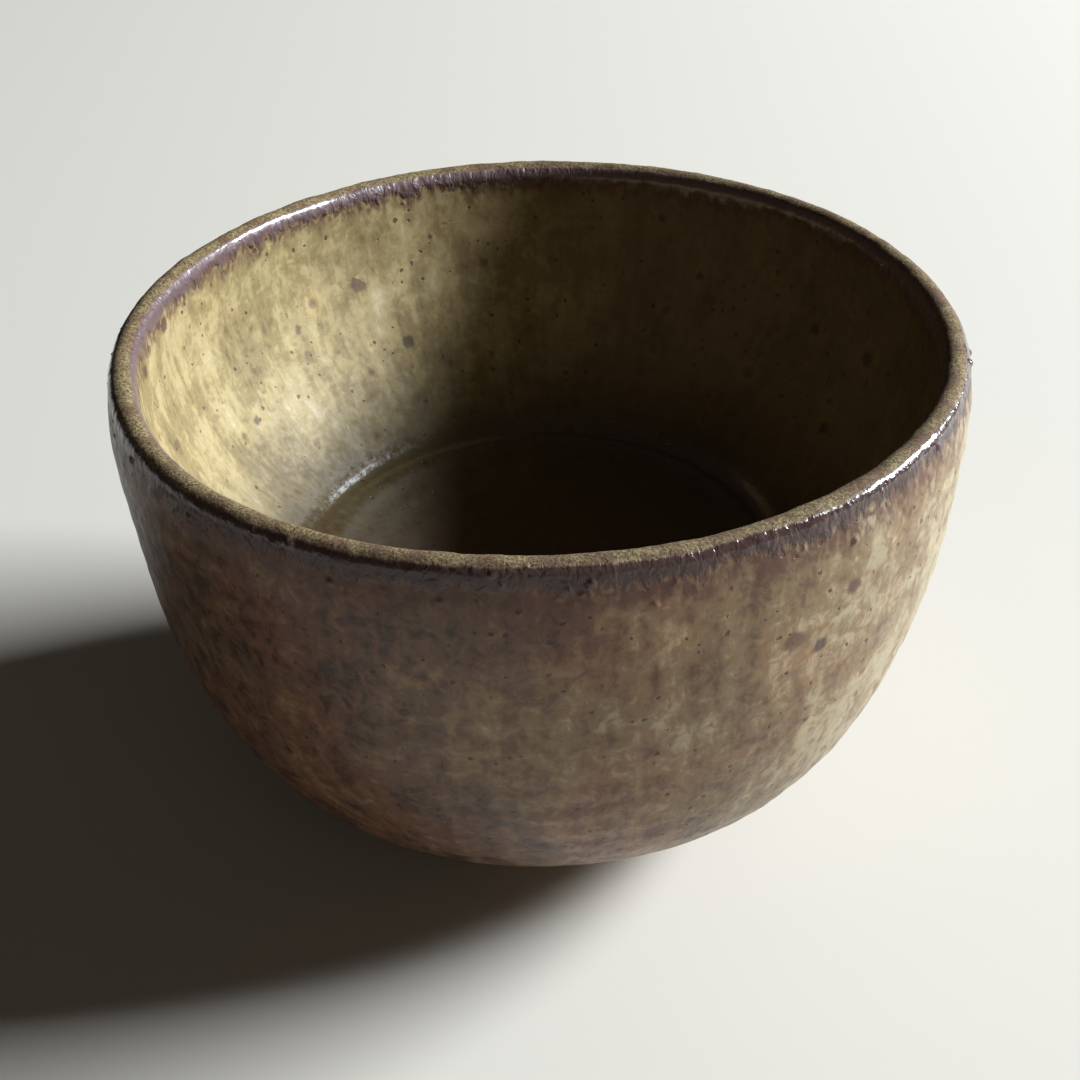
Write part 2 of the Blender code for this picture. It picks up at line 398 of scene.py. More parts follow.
def layer(points, kind, seed):
    """One soft noise of a height and a grain, drawn out down the wall."""
    height, grain, down = kind
    return height * soft_noise(points * (1.0, 1.0, down), grain, seed)


def relief(along, angle):
    """Height of the fired surface over the turned skin, and the crater mask.

    It adds slow unevenness of the wall, a spiral of throwing rings, runs of glaze down the wall,
    a rippled lip, beads under the lip, and craters.
    """
    place = skin_grid(along, angle, 0.0)
    flow = flow_of(along, angle)
    on_wall = smooth_rise(np.abs(along), 3.0 * MM, 12.0 * MM)
    slow = layer(place, UNEVEN, SEED + 10) + layer(place, UNEVEN_FINE, SEED + 11)
    drift = RING_DRIFT * soft_noise(place, RING_DRIFT_GRAIN, SEED + 12)
    spiral = along / RING_PITCH + angle / (2.0 * math.pi) + drift
    rings = np.where(along > 0.0, RING_OUTSIDE, RING_INSIDE) * np.sin(2.0 * math.pi * spiral)
    rings *= 1.0 + soft_noise(place, RING_FADE_GRAIN, SEED + 13)
    runs = layer(flow, RUNS, SEED + 14) + layer(flow, RUNS_FINE, SEED + 15)
    peel = layer(place, PEEL, SEED + 16)
    lip = layer(flow, LIP_RIPPLE, SEED + 17) + layer(place, LIP_GRAIN, SEED + 18)
    floor_fade = smooth_rise(along, FLOOR_EDGE - 2.0 * MM, FLOOR_EDGE + 12.0 * MM)
    craters, mask = crater_field(along, angle)
    edge = (along - FLOOR_EDGE) / FLOOR_EDGE_WIDTH
    height = slow * (0.35 + 0.65 * on_wall) + on_wall * (rings + runs * floor_fade) + peel
    height += lip * (1.0 - on_wall) + craters + bead_field(along, angle)
    height -= FLOOR_EDGE_DEPTH * np.exp(-(edge**2))
    return height, mask


# ---------------------------------------------------------------- meshes

def ring_faces(rows, columns, wrap):
    """Quads between neighbouring rows of a grid whose columns go all the way round."""
    row = np.arange(rows if wrap else rows - 1)[:, None]
    column = np.arange(columns)[None, :]
    below = (row + 1) % rows
    beside = (column + 1) % columns
    corners = [
        row * columns + column,
        below * columns + column,
        below * columns + beside,
        row * columns + beside,
    ]
    return np.stack(np.broadcast_arrays(*corners), axis=-1).reshape(-1, 4)


def fan_faces(pole, first, columns):
    """Triangles from a pole to the row that starts at an index."""
    column = np.arange(columns)
    beside = (column + 1) % columns
    return np.stack([np.full(columns, pole), first + column, first + beside], axis=1)


def make_piece(name, grid, values, poles=None):
    """A closed mesh from a grid of points: a ring of rows, or rows that end in a pole at each end."""
    rows, columns = grid.shape[:2]
    points = grid.reshape(-1, 3)
    faces = ring_faces(rows, columns, wrap=poles is None).tolist()
    if poles is not None:
        points = np.concatenate([points, np.array(poles)])
        faces += fan_faces(rows * columns, 0, columns)[:, ::-1].tolist()
        faces += fan_faces(rows * columns + 1, (rows - 1) * columns, columns).tolist()
    mesh = bpy.data.meshes.new(name)
    mesh.from_pydata(points.tolist(), [], faces)
    for key, (kind, field, array) in values.items():
        data = array.reshape(rows * columns, -1)
        if poles is not None:
            ends = [data[:columns].mean(axis=0), data[-columns:].mean(axis=0)]
            data = np.concatenate([data, ends])
        layer = mesh.attributes.new(key, kind, "POINT")
        layer.data.foreach_set(field, data.ravel())
    mesh.shade_smooth()
    mesh.set_sharp_from_angle(angle=SHARP_ANGLE)
    piece = bpy.data.objects.new(name, mesh)
    bpy.context.scene.collection.objects.link(piece)
    return piece


def spaced(low, high, spacing):
    """Evenly spaced distances, ends included."""
    return np.linspace(low, high, max(2, math.ceil((high - low) / spacing)) + 1)


def angles(columns):
    """The angles of a grid's columns."""
    return np.linspace(0.0, 2.0 * math.pi, columns, endpoint=False)[None, :]


def rolled_edge(along):
    """Height added at a coat's run-out end: a slight bead, less a quarter round down to the clay."""
    left = (along[-1:] - along) / GLAZE
    bead = EDGE_BEAD * np.exp(-(((left - EDGE_BEAD_AT) / EDGE_BEAD_WIDTH) ** 2))
    short = np.clip(1.0 - left, 0.0, 1.0)
    return bead - GLAZE * (1.0 - np.sqrt(1.0 - short**2))


def back_rows(along, floor):
    """The rows of a coat's back, from its far end to its start, or to the pole over the floor."""
    back = along[:: -max(1, len(along) // BACK_ROWS)]
    start = back[-1] if floor else along[0]
    return np.concatenate([along[-1:], back[1:-1], start[None, :]])


def coat(name, low, high, spacing, columns, edge_roll=None):
    """A glaze coat: its fired face, and its back sunk into the bowl by the coat's thickness.

    edge_roll, where given, returns for each angle how much further the coat ran, and the last rows
    are rounded down to the clay.
    """
    angle = angles(columns)
    along = spaced(low, high, spacing)[:, None] + 0.0 * angle
    if edge_roll is not None:
        along = low + (along - low) * (1.0 + edge_roll(angle) / (high - low))
    height, mask = relief(along, angle)
    if edge_roll is not None:
        height += rolled_edge(along)
    floor = low <= FLOOR_MIDDLE
    if floor:
        along, height, mask = along[1:], height[1:], mask[1:]
    back = back_rows(along, floor)
    face = skin_grid(along, angle, height)
    under = skin_grid(back, angle, -GLAZE)
    grid = np.concatenate([face, under])
    flow = np.concatenate([flow_of(along, angle), flow_of(back, angle)])
    mask = np.concatenate([mask, np.zeros(back.shape)])
    poles = None
    if floor:
        middle = np.array([[FLOOR_MIDDLE]])
        poles = [face[0].mean(axis=0), skin_grid(middle, np.array([[0.0]]), -GLAZE)[0, 0]]
    values = {"flow": ("FLOAT_VECTOR", "vector", flow), "crater": ("FLOAT", "value", mask)}
    return make_piece(name, grid, values, poles)


def waist_run(angle):
    """How far the outer coat ran past its mean edge at each angle."""
    around = flow_of(np.zeros_like(angle), angle)
    return layer(around, EDGE_RUN, SEED + 20) + layer(around, EDGE_RUN_FINE, SEED + 21)


def turned_grid(profile, columns, roughness, seed, fade=None):
    """A bare clay surface turned from a profile of radius and depth, with a trimmed, gritty skin."""
    angle = angles(columns)
    radius, depth = (np.asarray(profile)[:, side][:, None] + 0.0 * angle for side in (0, 1))
    place = wobble(radius, depth, angle)
    fine = soft_noise(place, FINE_GRIT_GRAIN, seed)
    grit = roughness * (fine + soft_noise(place, COARSE_GRIT_GRAIN, seed + 1))
    if fade is not None:
        grit = grit * np.asarray(fade)[:, None]
    return wobble(radius + grit, depth, angle)


def densify(profile, spacing):
    """A profile with points added along its straight runs."""
    profile = np.asarray(profile, dtype=float)
    along = chord_lengths(profile)
    at = np.unique(np.concatenate([along, np.arange(0.0, along[-1], spacing)]))
    return np.stack([np.interp(at, along, profile[:, side]) for side in (0, 1)], axis=1)


def recess_profile(edge):
    """The recess inside the foot: an elliptical cove up from the edge, then a dished ceiling."""
    inner = FOOT_RADIUS - FOOT_WIDTH
    ceiling = HEIGHT - RECESS_HEIGHT
    cove = RECESS_HEIGHT / 2.0
    rise = edge - ceiling - RECESS_DISH
    turn = np.linspace(0.0, math.pi / 2.0, COVE_STEPS)[1:]
    part = np.linspace(1.0, CEILING_END, CEILING_STEPS)[1:]
    start = np.array([[inner - SEAM_STEP, edge]])
    side = np.stack([inner - cove * (1.0 - np.cos(turn)), edge - rise * np.sin(turn)], axis=1)
    dish = np.stack([(inner - cove) * part, ceiling + RECESS_DISH * part**2], axis=1)
    return densify(np.concatenate([start, side, dish]), RECESS_SPACING)


def bare_body():
    """The clay under the glaze, bare from the glaze's lower edge to the foot, and under the floor."""
    bare_from = along_at_depth(WAIST_DEPTH) - WAIST_OVERLAP
    hidden = np.linspace(FLOOR_MIDDLE + HIDDEN_START, bare_from, HIDDEN_ROWS)
    seen = spaced(bare_from, BODY_EDGE, BODY_SPACING)[1:]
    radius, depth, normal_out, normal_down = skin_at(np.concatenate([hidden, seen]))
    sink = GLAZE + GAP
    walls = np.stack([radius - sink * normal_out, depth - sink * normal_down], axis=1)
    edge = HEIGHT - FOOT_HEIGHT - SEAM
    walls[-1, 1] = edge
    profile = np.concatenate([walls, recess_profile(edge)])
    grid = turned_grid(profile, CLAY_COLUMNS, BODY_GRIT, SEED + 30)
    poles = [grid[0].mean(axis=0), grid[-1].mean(axis=0)]
    return make_piece("bare_body", grid, {}, poles)


def foot():
    """The foot ring: a slightly flared band, its standing edges worn round, its face flat."""
    top = HEIGHT - FOOT_HEIGHT
    inner = FOOT_RADIUS - FOOT_WIDTH
    turn = np.linspace(0.0, math.pi / 2.0, WEAR_STEPS)
    by_cosine = FOOT_WEAR * (1.0 - np.cos(turn))
    by_sine = FOOT_WEAR * (1.0 - np.sin(turn))
    outer_edge = np.stack([FOOT_RADIUS - by_cosine, HEIGHT - by_sine], axis=1)
    inner_edge = np.stack([inner + FOOT_FLARE + by_sine, HEIGHT - by_cosine], axis=1)
    profile = [(FOOT_RADIUS + FOOT_FLARE, top), *outer_edge, *inner_edge, (inner, top)]
    profile = densify(profile, FOOT_SPACING)
    standing = np.clip((HEIGHT - profile[:, 1]) / GRIT_FADE, 0.0, 1.0)
    grid = turned_grid(profile, CLAY_COLUMNS, FOOT_GRIT, SEED + 40, fade=standing)
    return make_piece("foot", grid, {})


# ---------------------------------------------------------------- shader tools

def add(tree, kind, inputs=None, **settings):
    """Adds a node, sets its properties, and sets or links its inputs by name or number."""
    node = tree.nodes.new(kind)
    for key, value in settings.items():
        setattr(node, key, value)
    for key, value in (inputs or {}).items():
        if isinstance(value, bpy.types.NodeSocket):
            tree.links.new(value, node.inputs[key])
        else:
            node.inputs[key].default_value = value
    return node


def math_node(tree, operation, first, second=0.0, clamp=False):
    """A Math node's result."""
    inputs = {0: first, 1: second}
    return add(tree, "ShaderNodeMath", inputs, operation=operation, use_clamp=clamp).outputs[0]


def times(tree, first, second, clamp=False):
    """The product of two values, kept from 0 to 1 where clamp is set."""
    return math_node(tree, "MULTIPLY", first, second, clamp)


def ramp(tree, value, low, high, start=0.0, end=1.0):
    """A smooth rise of a value from start at low to end at high."""
    inputs = {"Value": value, "From Min": low, "From Max": high, "To Min": start, "To Max": end}
    return add(tree, "ShaderNodeMapRange", inputs, interpolation_type="SMOOTHSTEP").outputs["Result"]


def blend_colour(tree, factor, first, second, mode="MIX"):
    """Two colours mixed by a factor."""
    node = tree.nodes.new("ShaderNodeMix")
    node.data_type = "RGBA"
    node.blend_type = mode
    sockets = [node.inputs[0], node.inputs[6], node.inputs[7]]
    for socket, value in zip(sockets, (factor, first, second)):
        if isinstance(value, bpy.types.NodeSocket):
            tree.links.new(value, socket)
        else:
            socket.default_value = value
    return node.outputs[2]


def noise(tree, vector, scale, detail=3.0, roughness=0.55, distortion=0.0):
    """A Noise Texture's value."""
    inputs = {"Vector": vector, "Scale": scale, "Detail": detail, "Roughness": roughness}
    return add(tree, "ShaderNodeTexNoise", inputs | {"Distortion": distortion}).outputs[0]


def stretched(tree, vector, scale):
    """A vector scaled by axis."""
    return add(tree, "ShaderNodeVectorMath", {0: vector, 1: scale}, operation="MULTIPLY").outputs[0]


def centred(tree, value):
    """A noise value moved to lie around zero."""
    return math_node(tree, "SUBTRACT", value, 0.5)


def scaled_sum(tree, *terms):
    """The sum of values, each times its share."""
    total = None
    for value, share in terms:
        part = times(tree, value, share)
        total = part if total is None else math_node(tree, "ADD", total, part)
    return total


def new_group(name, inputs, outputs):
    """A shader node group with named sockets. Returns its tree, its input node and its output node."""
    tree = bpy.data.node_groups.new(name, "ShaderNodeTree")
    for key, (kind, value) in inputs.items():
        socket = tree.interface.new_socket(key, in_out="INPUT", socket_type="NodeSocket" + kind)
        if value is not None:
            socket.default_value = value
    for key, kind in outputs.items():
        tree.interface.new_socket(key, in_out="OUTPUT", socket_type="NodeSocket" + kind)
    return tree, tree.nodes.new("NodeGroupInput"), tree.nodes.new("NodeGroupOutput")


def use_group(tree, group, inputs):
    """Places a node group in a material."""
    node = tree.nodes.new("ShaderNodeGroup")
    node.node_tree = group
    for key, value in inputs.items():
        if isinstance(value, bpy.types.NodeSocket):
            tree.links.new(value, node.inputs[key])
        else:
            node.inputs[key].default_value = value
    return node


# ---------------------------------------------------------------- shared glaze effects

TONE_STEPS = {"Middle": (0.20, 0.45), "Light": (0.43, 0.68), "Pale": (0.66, 0.95)}
SPOT_SHAKE = 0.0009
SMALLEST_SPOT = 0.0001
LEAST_SHARE = 0.02


def wall_streaks_group():
    """Glaze that ran down the wall: four tones chosen by long streaks, patches and fine mottling."""
    colours = {key: ("Color", (0.5, 0.5, 0.5, 1.0)) for key in ("Dark", "Middle", "Light", "Pale")}
    shares = {key: ("Float", 0.5) for key in ("Shift", "Streaks", "Patches", "Mottle")}
    inputs = {"Flow": ("Vector", None), "Place": ("Vector", None), **colours, **shares}
    tree, source, result = new_group("wall_streaks", inputs, {"Color": "Color"})
    flow, place = source.outputs["Flow"], source.outputs["Place"]
    long_runs = noise(tree, stretched(tree, flow, (1.0, 1.0, 0.22)), 210.0, 3.0, 0.62, 0.9)
    short_runs = noise(tree, stretched(tree, flow, (1.0, 1.0, 0.45)), 430.0, 3.0, 0.6, 1.0)
    patches = noise(tree, place, 68.0, 4.0, 0.62, 0.7)
    mottle = noise(tree, place, 330.0, 4.0, 0.65, 0.8)
    fine = noise(tree, place, 1300.0, 2.0, 0.6)
    streak = scaled_sum(tree, (long_runs, 0.6), (short_runs, 0.4))
    parts = (
        (centred(tree, streak), source.outputs["Streaks"]),
        (centred(tree, patches), source.outputs["Patches"]),
        (centred(tree, mottle), source.outputs["Mottle"]),
        (centred(tree, fine), 0.22),
        (source.outputs["Shift"], 1.0),
    )
    tone = math_node(tree, "ADD", scaled_sum(tree, *parts), 0.5)
    colour = source.outputs["Dark"]
    for key, (low, high) in TONE_STEPS.items():
        colour = blend_colour(tree, ramp(tree, tone, low, high), colour, source.outputs[key])
    tree.links.new(colour, result.inputs["Color"])
    return tree


def iron_spots_group():
    """Scattered iron spots and pinholes: round cells, some of which hold a spot with a ring round it."""
    inputs = {
        "Place": ("Vector", None), "Scale": ("Float", 200.0),
        "Empty": ("Float", 0.6), "Size": ("Float", 0.3),
    }
    tree, source, result = new_group("iron_spots", inputs, {"Spot": "Float", "Ring": "Float"})
    place = source.outputs["Place"]
    shake = add(tree, "ShaderNodeTexNoise", {"Vector": place, "Scale": 900.0, "Detail": 2.0})
    pair = {0: shake.outputs["Color"], 1: (0.5, 0.5, 0.5)}
    moved = add(tree, "ShaderNodeVectorMath", pair, operation="SUBTRACT").outputs[0]
    moved = stretched(tree, moved, (SPOT_SHAKE, SPOT_SHAKE, SPOT_SHAKE))
    vector = add(tree, "ShaderNodeVectorMath", {0: place, 1: moved}, operation="ADD").outputs[0]
    cells = add(tree, "ShaderNodeTexVoronoi", {"Vector": vector, "Scale": source.outputs["Scale"]})
    chance = add(tree, "ShaderNodeSeparateColor", {"Color": cells.outputs["Color"]}).outputs[0]
    over = math_node(tree, "SUBTRACT", chance, source.outputs["Empty"])
    room = math_node(tree, "SUBTRACT", 1.0, source.outputs["Empty"])
    share = math_node(tree, "DIVIDE", math_node(tree, "MAXIMUM", over, 0.0), room)
    reach = times(tree, share, source.outputs["Size"])
    reach = math_node(tree, "MAXIMUM", reach, SMALLEST_SPOT)
    away = math_node(tree, "DIVIDE", cells.outputs["Distance"], reach)
    spot = ramp(tree, away, 0.55, 1.0, 1.0, 0.0)
    outer = ramp(tree, away, 1.5, 2.6, 1.0, 0.0)
    ring = math_node(tree, "SUBTRACT", outer, ramp(tree, away, 0.8, 1.3, 1.0, 0.0), clamp=True)
    there = math_node(tree, "GREATER_THAN", share, LEAST_SHARE)
    tree.links.new(times(tree, spot, there), result.inputs["Spot"])
    tree.links.new(times(tree, ring, there), result.inputs["Ring"])
    return tree


def lip_band_group():
    """Masks of the dip over the lip: the dry line along the top, the dark glossy band and its fringe."""
    inputs = {"Flow": ("Vector", None), "Place": ("Vector", None)}
    outputs = {"Dry": "Float", "Band": "Float", "Fringe": "Float", "Outside": "Float"}
    tree, source, result = new_group("lip_band", inputs, outputs)
    flow, place = source.outputs["Flow"], source.outputs["Place"]
    along = add(tree, "ShaderNodeSeparateXYZ", {0: flow}).outputs[2]
    slow = centred(tree, noise(tree, place, 75.0, 2.0))
    quick = centred(tree, noise(tree, place, 620.0, 4.0, 0.7))
    runs = centred(tree, noise(tree, stretched(tree, flow, (1.0, 1.0, 0.2)), 420.0, 3.0))
    ragged = scaled_sum(tree, (slow, 3.0 * MM), (quick, 2.0 * MM))
    shaken = math_node(tree, "ADD", along, times(tree, ragged, 0.5))
    run_down = math_node(tree, "ADD", ragged, times(tree, runs, 5.0 * MM))
    dropped = math_node(tree, "ADD", along, run_down)
    lip_in = ramp(tree, shaken, -1.7 * MM, -1.0 * MM)
    lip_out = ramp(tree, shaken, 1.0 * MM, 1.7 * MM, 1.0, 0.0)
    dry = times(tree, lip_in, lip_out)
    band_in = ramp(tree, dropped, -4.4 * MM, -3.2 * MM)
    band_out = ramp(tree, dropped, 3.4 * MM, 4.8 * MM, 1.0, 0.0)
    not_dry = math_node(tree, "SUBTRACT", 1.0, dry)
    band = times(tree, times(tree, band_in, band_out), not_dry)
    fringe_in = ramp(tree, dropped, -6.6 * MM, -4.6 * MM)
    fringe_out = ramp(tree, dropped, 5.4 * MM, 9.6 * MM, 1.0, 0.0)
    fringe = times(tree, fringe_in, fringe_out)
    for key, value in (("Dry", dry), ("Band", band), ("Fringe", fringe)):
        tree.links.new(value, result.inputs[key])
    tree.links.new(math_node(tree, "GREATER_THAN", along, 0.0), result.inputs["Outside"])
    return tree


def fired_grain_group():
    """Fine relief of a fired surface, from 0 to 1: orange peel, grit, and drag lines along the flow."""
    inputs = {"Flow": ("Vector", None), "Place": ("Vector", None)}
    outputs = {key: "Float" for key in ("Peel", "Grit", "Beads")}
    tree, source, result = new_group("fired_grain", inputs, outputs)
    flow, place = source.outputs["Flow"], source.outputs["Place"]
    peel = noise(tree, place, 850.0, 3.0, 0.55)
    grit = noise(tree, place, 2600.0, 4.0, 0.7)
    drag = noise(tree, stretched(tree, flow, (1.0, 1.0, 0.25)), 1500.0, 2.0)
    beads = noise(tree, stretched(tree, flow, (1.0, 1.0, 0.6)), 780.0, 2.0, 0.5, 0.8)
    tree.links.new(scaled_sum(tree, (peel, 0.7), (drag, 0.3)), result.inputs["Peel"])
    tree.links.new(grit, result.inputs["Grit"])
    tree.links.new(beads, result.inputs["Beads"])
    return tree


WALL_STREAKS = wall_streaks_group()
IRON_SPOTS = iron_spots_group()
LIP_BAND = lip_band_group()
FIRED_GRAIN = fired_grain_group()

INSIDE_TONES = {
    "Dark": (0.095, 0.068, 0.030, 1.0),
    "Middle": (0.205, 0.150, 0.062, 1.0),
    "Light": (0.315, 0.245, 0.115, 1.0),
    "Pale": (0.430, 0.360, 0.230, 1.0),
}
OUTSIDE_TONES = {
    "Dark": (0.040, 0.022, 0.013, 1.0),
    "Middle": (0.112, 0.060, 0.033, 1.0),
    "Light": (0.192, 0.128, 0.064, 1.0),
    "Pale": (0.325, 0.268, 0.162, 1.0),
}
# Painted shade for the inner wall's +X side, which faces away from the key light
SHADY_SIDE = (0.074, 0.038, 0.019, 1.0)
# Painted shade for the lower inner wall near the floor's edge
DEEP_WALL_SHADE = (0.024, 0.015, 0.007, 1.0)
FLOOR_BROWN = (0.050, 0.026, 0.012, 1.0)
SPOT_COLOUR = (0.035, 0.015, 0.013, 1.0)
HALO_TINT = (1.45, 1.30, 1.20, 1.0)
HOLLOW_COLOUR = (0.055, 0.026, 0.020, 1.0)
DRY_LIP_DARK = (0.060, 0.040, 0.017, 1.0)
DRY_LIP_PALE = (0.245, 0.180, 0.082, 1.0)
BAND_OUTSIDE = (0.046, 0.025, 0.024, 1.0)
BAND_INSIDE = (0.105, 0.066, 0.072, 1.0)
DRIP_COLOUR = (0.080, 0.030, 0.024, 1.0)
MAUVE = (1.22, 0.98, 0.98, 1.0)
FRINGE_COLOUR = (0.085, 0.036, 0.024, 1.0)
SAND_COLOUR = (0.50, 0.38, 0.26, 1.0)
BODY_CLAY = ((0.235, 0.150, 0.090, 1.0), (0.130, 0.078, 0.046, 1.0))
FOOT_CLAY = ((0.270, 0.175, 0.105, 1.0), (0.150, 0.090, 0.055, 1.0))

# Iron spots and pinholes: cells per metre, share of cells left empty, largest size in cells
SPOTS = {"Scale": 175.0, "Empty": 0.64, "Size": 0.27}
PINS = {"Scale": 600.0, "Empty": 0.55, "Size": 0.30}
DRIPS = {"Scale": 130.0, "Empty": 0.42, "Size": 0.27}
SPECKS = {"Scale": 620.0, "Empty": 0.72, "Size": 0.30}

GLAZE_IOR = 1.5
GLAZE_SPECULAR = 0.36
GLAZE_COAT_ROUGHNESS = 0.14
GLAZE_BUMP = 0.16 * MM
CLAY_BUMP = 0.22 * MM


def inside_wall(tree, flow, place):
    """The inside's ochre, with painted shade browner and darker towards +X and darker down the wall, and
    brown in mid-floor.
    """
    along = add(tree, "ShaderNodeSeparateXYZ", {0: flow}).outputs[2]
    across = add(tree, "ShaderNodeSeparateXYZ", {0: place}).outputs[0]
    drift = centred(tree, noise(tree, place, 55.0, 3.0))
    on_wall = ramp(tree, along, FLOOR_EDGE - 3.0 * MM, FLOOR_EDGE + 14.0 * MM, 0.1, 0.95)
    inputs = {"Flow": flow, "Place": place, **INSIDE_TONES, "Shift": 0.05, "Streaks": on_wall}
    inputs |= {"Patches": 0.95, "Mottle": 0.62}
    colour = use_group(tree, WALL_STREAKS, inputs).outputs["Color"]
    # Painted shade: browner and darker towards +X, where the inner wall faces away from the key light
    sideways = scaled_sum(tree, (across, 1.0), (drift, 24.0 * MM))
    shady = ramp(tree, sideways, -26.0 * MM, 22.0 * MM, 0.0, 0.78)
    colour = blend_colour(tree, shady, colour, SHADY_SIDE)
    # Painted shade: darker down the wall towards the floor's edge, deep in the bowl where the key light
    # doesn't reach
    downwards = scaled_sum(tree, (along, 1.0), (drift, 14.0 * MM))
    deep = ramp(tree, downwards, FLOOR_EDGE - 2.0 * MM, FLOOR_EDGE + 24.0 * MM, 0.88, 0.0)
    colour = blend_colour(tree, deep, colour, DEEP_WALL_SHADE)
    middle = ramp(tree, downwards, FLOOR_MIDDLE + 12.0 * MM, FLOOR_EDGE - 6.0 * MM, 0.75, 0.0)
    return blend_colour(tree, middle, colour, FLOOR_BROWN)


def outside_wall(tree, flow, place):
    """The outside's mauve-brown, streaked with olive, and paler towards +X: partly the glaze's own
    change, partly painted light on the side that faces the key light.
    """
    across = add(tree, "ShaderNodeSeparateXYZ", {0: place}).outputs[0]
    drift = centred(tree, noise(tree, place, 30.0, 2.0))
    bent = scaled_sum(tree, (across, 1.0), (drift, 60.0 * MM))
    # Painted light: paler towards +X, the side the key light falls on; partly also the glaze's own
    # change of tone
    lit_side_shift = ramp(tree, bent, -40.0 * MM, 62.0 * MM, -0.12, 0.30)
    streaks = ramp(tree, bent, -50.0 * MM, 50.0 * MM, 0.55, 1.15)
    inputs = {"Flow": flow, "Place": place, **OUTSIDE_TONES, "Shift": lit_side_shift, "Streaks": streaks}
    colour = use_group(tree, WALL_STREAKS, inputs | {"Patches": 0.60, "Mottle": 0.85}).outputs["Color"]
    # Mauve blush, strongest away from +X: partly the glaze's own mauve, partly painted warm bounce light
    # on the shaded side
    blush = ramp(tree, noise(tree, place, 46.0, 3.0, 0.6, 0.6), 0.40, 0.62, 0.0, 0.8)
    blush = times(tree, blush, ramp(tree, bent, 0.0, 46.0 * MM, 1.0, 0.15))
    return blend_colour(tree, blush, colour, MAUVE, "MULTIPLY")


def mixed_value(tree, factor, first, second):
    """Two values mixed by a factor of 0 to 1."""
    if isinstance(factor, float):
        return second if factor else first
    other = math_node(tree, "SUBTRACT", 1.0, factor)
    return scaled_sum(tree, (first, other), (second, factor))


def spotted(tree, colour, place, along, crater, grain):
    """Iron spots in pale halos, pinholes, healed craters, and maroon drips near the lip.

    Returns the colour with them on it, and how deep the spots and pinholes lie.
    """
    spots = use_group(tree, IRON_SPOTS, {"Place": place, **SPOTS}).outputs
    pins = use_group(tree, IRON_SPOTS, {"Place": place, **PINS}).outputs
    drips = use_group(tree, IRON_SPOTS, {"Place": place, **DRIPS}).outputs
    halo = times(tree, spots["Ring"], 0.35)
    halo = times(tree, halo, ramp(tree, grain["Beads"], 0.35, 0.6))
    colour = blend_colour(tree, halo, colour, HALO_TINT, "MULTIPLY")
    colour = blend_colour(tree, times(tree, spots["Spot"], 0.72), colour, SPOT_COLOUR)
    colour = blend_colour(tree, times(tree, pins["Spot"], 0.75), colour, SPOT_COLOUR)
    ring = times(tree, crater, 0.55, clamp=True)
    colour = blend_colour(tree, ring, colour, HALO_TINT, "MULTIPLY")
    hollow = times(tree, crater, -0.50, clamp=True)
    colour = blend_colour(tree, hollow, colour, HOLLOW_COLOUR)
    near_lip = ramp(tree, math_node(tree, "ABSOLUTE", along), 10.0 * MM, 42.0 * MM, 0.85, 0.1)
    colour = blend_colour(tree, times(tree, drips["Spot"], near_lip), colour, DRIP_COLOUR)
    return colour, scaled_sum(tree, (pins["Spot"], 0.45), (spots["Spot"], 0.22))


def dipped_lip(tree, colour, place, outer, band, grain):
    """The dip over the lip, on a colour: a maroon fringe, a dark band, and a dry line along the top."""
    fringe = times(tree, band["Fringe"], ramp(tree, grain["Beads"], 0.36, 0.60, 0.20, 0.92))
    colour = blend_colour(tree, fringe, colour, FRINGE_COLOUR)
    dark_band = blend_colour(tree, outer, BAND_INSIDE, BAND_OUTSIDE)
    colour = blend_colour(tree, times(tree, band["Band"], 0.9), colour, dark_band)
    dry = blend_colour(tree, ramp(tree, grain["Grit"], 0.38, 0.62), DRY_LIP_DARK, DRY_LIP_PALE)
    worn = ramp(tree, noise(tree, place, 240.0, 4.0, 0.65), 0.42, 0.62, 0.0, 0.65)
    dry = blend_colour(tree, worn, dry, FRINGE_COLOUR)
    return blend_colour(tree, band["Dry"], colour, dry)


def glaze_gloss(tree, along, outer, band, grain):
    """Roughness and coat weight: satin walls, glossy at the lip and where glaze pooled on the floor."""
    inner_satin = ramp(tree, grain["Peel"], 0.35, 0.65, 0.60, 0.78)
    outer_satin = ramp(tree, grain["Peel"], 0.35, 0.65, 0.36, 0.52)
    satin = mixed_value(tree, outer, inner_satin, outer_satin)
    from_edge = math_node(tree, "ABSOLUTE", math_node(tree, "SUBTRACT", along, FLOOR_EDGE))
    pooled = ramp(tree, from_edge, 1.5 * MM, 4.5 * MM, 1.0, 0.0)
    floor_gloss = ramp(tree, along, FLOOR_EDGE - 1.0 * MM, FLOOR_EDGE + 5.0 * MM, 0.14, 0.0)
    upper = ramp(tree, along, 1.8 * MM, 3.2 * MM, 1.0, 0.15)
    glossy_band = times(tree, band["Band"], upper)
    smoother = ((glossy_band, -0.26), (pooled, -0.40), (floor_gloss, -1.0))
    roughness = scaled_sum(tree, (satin, 1.0), *smoother, (band["Dry"], 0.40))
    coats = ((glossy_band, 0.6), (pooled, 0.9), (outer, 0.10), (band["Dry"], -0.6))
    return roughness, scaled_sum(tree, *coats)


